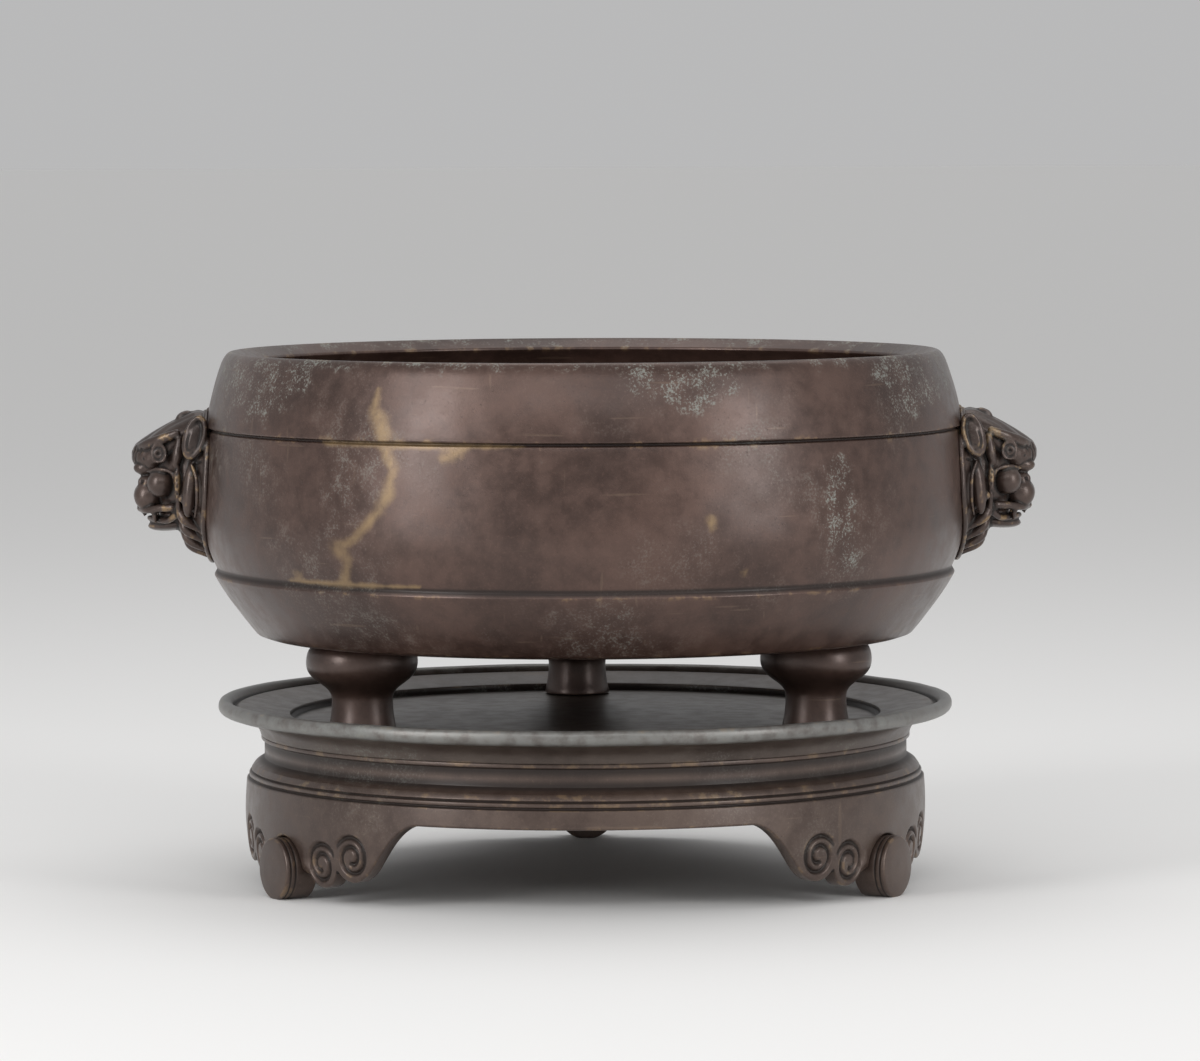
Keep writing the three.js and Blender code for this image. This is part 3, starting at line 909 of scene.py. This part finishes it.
def dome_outward(sideways, up):
    """How far outward the mane's dome stands at a place."""
    share = 1 - (sideways / 18.6) ** 2 - ((up - 22.4) / 19.6) ** 2
    return 9.4 * math.sqrt(max(share, 0)) - 3.4


def carve_mask(points, normals):
    dent(points, normals, (12, 11, 30.6), 1.25, 1.4)
    dent(points, normals, (17.2, 5.4, 22.8), 1.2, 1)
    for step in range(4):
        side = 0.6 + 1.3 * step
        wrinkle = [(19.4 - step, side + 1.6, 32.6), (20.4 - step, side, 29), (20 - step, side, 25.6)]
        carve(points, normals, wrinkle, 0.55, 0.35)
    carve(points, normals, [(16.6, 6.3, 29), (14.2, 8.6, 28), (9.6, 11, 27.6)], 0.6, 0.5)
    carve(points, normals, [(10.4, 9.4, 33.2), (8.4, 11, 31), (9, 11.2, 28.6)], 0.6, 0.45)
    carve(points, normals, [(14.8, 6.6, 24.6), (15, 7.4, 21.6), (14.2, 7.6, 18.4)], 0.6, 0.6)
    ear_hollow = ring_knots((2.2, 17.6, 35), side_facing, 3.6, 1.3, 0, 20, 320, 14, ear_lean)
    carve(points, normals, ear_hollow, 0.55, 0.6)
    for step in range(7):
        up = 15.4 + 1.8 * step
        carve(points, normals, [(7.2, 12.6, up), (6.4, 13.6, up + 1.1)], 0.4, 0.4)
    for step in range(7):
        sideways, up = plate_edge(0.7 + 0.045 * step)
        outward = wall_outward(sideways, up) + 1.2
        notch = [(outward, sideways + 0.6, up), (outward, sideways - 1.4, up + 1)]
        carve(points, normals, notch, 0.45, 0.5)
    for lock in range(9):
        angle = math.radians(-62 + 15.5 * lock)
        knots = []
        for reach in (0.72, 0.82, 0.93):
            sideways = 18.6 * reach * math.sin(angle + 0.16 * math.sin(9 * reach))
            up = 22.4 + 19.6 * reach * math.cos(angle + 0.16 * math.sin(9 * reach))
            knots.append((dome_outward(sideways, up), sideways, up))
        carve(points, normals, knots, 0.5, 0.4)
    for step in range(5):
        side = 7 + 1.7 * step
        dent(points, normals, (dome_outward(side, 38.6 - step) + 0.3, side, 38.6 - step), 0.6, 0.45)


def mask_mesh():
    clay = Clay()
    add_head(clay)
    add_features(clay)
    add_mane(clay)
    rough = clay.mesh("mask_rough")
    holder = bpy.data.objects.new("mask_rough", rough)
    bpy.context.scene.collection.objects.link(holder)
    remesh = holder.modifiers.new("voxels", "REMESH")
    remesh.mode = "VOXEL"
    remesh.voxel_size = mask_voxel * MM
    bpy.context.view_layer.update()
    evaluated = holder.evaluated_get(bpy.context.evaluated_depsgraph_get())
    mesh = bpy.data.meshes.new_from_object(evaluated)
    bpy.data.objects.remove(holder)
    bpy.data.meshes.remove(rough)

    edges = edges_of(mesh)
    points = spread(points_of(mesh), edges, 4)
    move_points(mesh, points)
    normals = normals_of(mesh)
    carve_mask(points, normals)
    points = spread(points, edges, 1)
    seat = wall_radius(points[:, 2]) + wall_seat
    radius = np.linalg.norm(points[:, :2], axis=1)
    points[:, :2] *= np.maximum(1, seat / radius)[:, None]
    move_points(mesh, points)
    turn_outward(mesh)
    store_wear(mesh, sharp=0.9, rounds=3)
    return mesh


def make_mask(side, angle, mesh, material):
    mask = bpy.data.objects.new(f"mask_casting_{side}", mesh.copy())
    mask.data.transform(Matrix.Rotation(math.radians(angle), 4, "Z"))
    bpy.context.scene.collection.objects.link(mask)
    settle(mask, "censer", "mask_bronze", material, f"lion_mask_{side}")


# Materials

def add_node(tree, kind, inputs=None, **settings):
    node = tree.nodes.new(kind)
    for key, value in settings.items():
        setattr(node, key, value)
    for key, value in (inputs or {}).items():
        if isinstance(value, bpy.types.NodeSocket):
            tree.links.new(value, node.inputs[key])
        else:
            node.inputs[key].default_value = value
    return node


def math_node(tree, operation, first, second=0.0, clamp=False):
    node = add_node(tree, "ShaderNodeMath", {0: first, 1: second}, operation=operation, use_clamp=clamp)
    return node.outputs[0]


def times(tree, first, second):
    return math_node(tree, "MULTIPLY", first, second)


def plus(tree, first, second):
    return math_node(tree, "ADD", first, second)


def larger(tree, first, second):
    return math_node(tree, "MAXIMUM", first, second)


def noise(tree, place, scale, detail=4.0, rough=0.55, stretch=None):
    if stretch:
        stretching = add_node(tree, "ShaderNodeVectorMath", {0: place, 1: stretch}, operation="MULTIPLY")
        place = stretching.outputs[0]
    inputs = {"Vector": place, "Scale": scale, "Detail": detail, "Roughness": rough}
    return add_node(tree, "ShaderNodeTexNoise", inputs).outputs["Fac"]


def ramp(tree, value, low, high, bottom=0.0, top=1.0):
    inputs = {"Value": value, "From Min": low, "From Max": high, "To Min": bottom, "To Max": top}
    return add_node(tree, "ShaderNodeMapRange", inputs, interpolation_type="SMOOTHSTEP").outputs["Result"]


def mix_colour(tree, share, first, second, blend="MIX"):
    node = add_node(tree, "ShaderNodeMix", {0: share}, data_type="RGBA", blend_type=blend)
    for socket, value in ((node.inputs[6], first), (node.inputs[7], second)):
        if isinstance(value, bpy.types.NodeSocket):
            tree.links.new(value, socket)
        else:
            socket.default_value = (*value, 1)
    return node.outputs[2]


def mix_value(tree, share, first, second):
    return add_node(tree, "ShaderNodeMix", {0: share, 2: first, 3: second}, data_type="FLOAT").outputs[0]


def attribute(tree, name):
    return add_node(tree, "ShaderNodeAttribute", attribute_name=name).outputs["Fac"]


brass = (0.36, 0.235, 0.11)
gold_drip = (0.25, 0.165, 0.08)
verdigris = (0.27, 0.3, 0.27)


def bronze(name, dark, light, wear, green=0.0, roughness=0.4, sparkle=0.0, painted=False, paled=False):
    """Patinated bronze. wear is how bright its edges are, green how much verdigris it has."""
    material = bpy.data.materials.new(name)
    material.use_nodes = True
    tree = material.node_tree
    shader = tree.nodes["Principled BSDF"]
    place = add_node(tree, "ShaderNodeTexCoord").outputs["Object"]
    cloud = noise(tree, place, 30, 4, 0.5)
    mottle = noise(tree, place, 210, 6, 0.6)
    grain = noise(tree, place, 1500, 4, 0.7)
    scratch = noise(tree, place, 420, 2, 0.4, (0.09, 0.09, 1.4))
    scratch_turned = noise(tree, place, 380, 2, 0.4, (1.3, 0.5, 0.08))

    share = plus(tree, times(tree, cloud, 0.6), times(tree, mottle, 0.4))
    colour = mix_colour(tree, ramp(tree, share, 0.34, 0.66), dark, light)
    colour = mix_colour(tree, ramp(tree, grain, 0.5, 0.75, 0, 0.3), colour, tuple(1.5 * c for c in light))
    pits = ramp(tree, grain, 0.36, 0.3)
    colour = mix_colour(tree, times(tree, pits, 0.6), colour, tuple(0.35 * c for c in dark))
    lines = ramp(tree, scratch, 0.7, 0.75, 0, 0.25)
    lines = larger(tree, lines, ramp(tree, scratch_turned, 0.71, 0.76, 0, 0.22))
    colour = mix_colour(tree, lines, colour, (0.19, 0.13, 0.09))

    if paled:
        bead = times(tree, attribute(tree, "pale"), ramp(tree, mottle, 0.3, 0.6, 0.35, 0.9))
        colour = mix_colour(tree, bead, colour, (0.2, 0.2, 0.19))
    worn = times(tree, attribute(tree, "wear"), ramp(tree, mottle, 0.46, 0.68, 0.1, 1.2))
    worn = ramp(tree, worn, 0.35, 1.1, 0, wear)
    if sparkle:
        fleck = times(tree, ramp(tree, grain, 0.66, 0.72), ramp(tree, mottle, 0.45, 0.65, 0, sparkle))
        worn = larger(tree, worn, fleck)
    colour = mix_colour(tree, worn, colour, brass)
    dirt = ramp(tree, attribute(tree, "dirt"), 0.1, 0.8, 0, 0.85)
    colour = mix_colour(tree, dirt, colour, tuple(0.3 * c for c in dark))
    specks = ramp(tree, plus(tree, grain, times(tree, mottle, 0.6)), 0.8, 0.98)
    patches = ramp(tree, noise(tree, place, 22, 3, 0.6), 0.5, 0.7, 0, green)
    stain = times(tree, specks, patches)
    if painted:
        streaks = plus(tree, attribute(tree, "stain"), times(tree, mottle, 1.3))
        streaks = times(tree, ramp(tree, streaks, 0.85, 1.3, 0, 0.6), specks)
        stain = larger(tree, stain, streaks)
    colour = mix_colour(tree, stain, colour, verdigris)
    gold = None
    if painted:
        fringe = plus(tree, attribute(tree, "drip"), times(tree, mottle, 1.1))
        gold = ramp(tree, fringe, 0.8, 1.75, 0, 0.85)
        colour = mix_colour(tree, gold, colour, gold_drip)
    tree.links.new(colour, shader.inputs["Base Color"])

    rough = mix_value(tree, ramp(tree, mottle, 0.35, 0.7), roughness - 0.05, roughness + 0.08)
    rough = mix_value(tree, worn, rough, 0.33)
    rough = mix_value(tree, larger(tree, stain, dirt), rough, 0.72)
    tree.links.new(rough, shader.inputs["Roughness"])
    tree.links.new(mix_value(tree, stain, 0.5, 0.1), shader.inputs["Metallic"])
    shader.inputs["Coat Weight"].default_value = 0.3
    shader.inputs["Coat Roughness"].default_value = 0.3

    height = times(tree, mottle, 0.5)
    height = plus(tree, height, times(tree, grain, 0.35))
    height = math_node(tree, "SUBTRACT", height, times(tree, pits, 0.4))
    height = math_node(tree, "SUBTRACT", height, times(tree, lines, 0.5))
    if gold is not None:
        height = plus(tree, height, times(tree, gold, 0.3))
    bump = add_node(tree, "ShaderNodeBump", {"Strength": 0.3, "Distance": 0.00022, "Height": height})
    tree.links.new(bump.outputs["Normal"], shader.inputs["Normal"])
    return material


def plain(name, colour, roughness):
    material = bpy.data.materials.new(name)
    material.use_nodes = True
    shader = material.node_tree.nodes["Principled BSDF"]
    shader.inputs["Base Color"].default_value = (*colour, 1)
    shader.inputs["Roughness"].default_value = roughness
    return material


# Studio

def make_floor():
    reach = 40
    mesh = bpy.data.meshes.new("floor")
    corners = [(-reach, -reach, 0), (reach, -reach, 0), (reach, reach, 0), (-reach, reach, 0)]
    mesh.from_pydata(corners, [], [(0, 1, 2, 3)])
    floor = bpy.data.objects.new("floor", mesh)
    mesh.materials.append(plain("pale_floor", (0.84, 0.835, 0.825), 0.8))
    bpy.context.scene.collection.objects.link(floor)


def make_lamp(name, place, aim, size, power):
    data = bpy.data.lights.new(name, "AREA")
    data.shape = "RECTANGLE"
    data.size, data.size_y = size
    data.energy = power
    lamp = bpy.data.objects.new(name, data)
    lamp.location = place
    lamp.rotation_euler = (Vector(aim) - Vector(place)).to_track_quat("-Z", "Y").to_euler()
    bpy.context.scene.collection.objects.link(lamp)


def make_world():
    world = bpy.data.worlds.new("studio")
    bpy.context.scene.world = world
    world.use_nodes = True
    tree = world.node_tree
    background = tree.nodes["Background"]
    background.inputs["Color"].default_value = (0.94, 0.94, 0.945, 1)
    rays = add_node(tree, "ShaderNodeLightPath").outputs
    seen = plus(tree, rays["Is Camera Ray"], rays["Is Glossy Ray"])
    seen = math_node(tree, "ADD", seen, rays["Is Transmission Ray"], clamp=True)
    tree.links.new(mix_value(tree, seen, 0.62, 0.518), background.inputs["Strength"])


def make_camera():
    data = bpy.data.cameras.new("camera")
    data.sensor_width = 36
    data.lens = 178.17
    data.clip_end = 50
    camera = bpy.data.objects.new("camera", data)
    camera.location = (0.00426, -1.6332, 0.2035)
    tilt = Matrix.Rotation(math.radians(90 - 3.78), 4, "X") @ Matrix.Rotation(math.radians(-0.22), 4, "Z")
    camera.rotation_euler = tilt.to_euler()
    bpy.context.scene.collection.objects.link(camera)
    bpy.context.scene.camera = camera


def make_rivet_finish(material):
    for side in ("right", "left"):
        for level in rivet_heights:
            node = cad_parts[f"mask_rivet_{side}_{level}"]
            node.data.materials.clear()
            node.data.materials.append(material)


# Scene

bpy.context.scene.view_settings.view_transform = "Standard"
make_camera()
make_world()
make_floor()
middle = (0, 0, 0.08)
make_lamp("key", (-0.9, -0.8, 0.5), middle, (0.36, 0.8), 6.6)
make_lamp("fill", (0.92, -0.78, 0.42), middle, (0.32, 0.7), 4.6)
make_lamp("front", (0, -1.35, 0.95), middle, (1.3, 0.25), 3.2)
make_lamp("top", (0.1, 0.3, 1.1), middle, (1, 0.6), 2.4)

bowl_bronze = bronze(
    "bowl_bronze",
    dark=(0.046, 0.025, 0.019),
    light=(0.1, 0.057, 0.044),
    wear=0.25,
    green=0.3,
    roughness=0.36,
    painted=True,
)
mask_bronze = bronze(
    "mask_bronze",
    dark=(0.034, 0.022, 0.018),
    light=(0.078, 0.05, 0.04),
    wear=0.5,
    green=0.15,
    roughness=0.33,
)
foot_bronze = bronze(
    "foot_bronze",
    dark=(0.038, 0.022, 0.017),
    light=(0.08, 0.048, 0.038),
    wear=0.15,
    roughness=0.38,
)
tray_bronze = bronze(
    "tray_bronze",
    dark=(0.055, 0.038, 0.03),
    light=(0.105, 0.08, 0.066),
    wear=0.2,
    green=0.3,
    roughness=0.43,
    sparkle=0.35,
    paled=True,
)
frame_bronze = bronze(
    "frame_bronze",
    dark=(0.054, 0.034, 0.027),
    light=(0.105, 0.072, 0.057),
    wear=0.25,
    green=0.15,
    roughness=0.39,
    sparkle=0.5,
)
rivet_bronze = bronze("rivet_bronze", (0.07, 0.045, 0.03), (0.16, 0.11, 0.07), 0.3, roughness=0.5)

make_bowl(bowl_bronze)
make_tray(tray_bronze)
make_frame(frame_bronze)
for place, angle in leg_angles.items():
    make_foot(place, angle, foot_bronze)
    make_roll(place, angle, frame_bronze)
face_mesh = mask_mesh()
for side, angle in (("right", 0), ("left", 180)):
    make_mask(side, angle, face_mesh, mask_bronze)
bpy.data.meshes.remove(face_mesh)
make_rivet_finish(rivet_bronze)
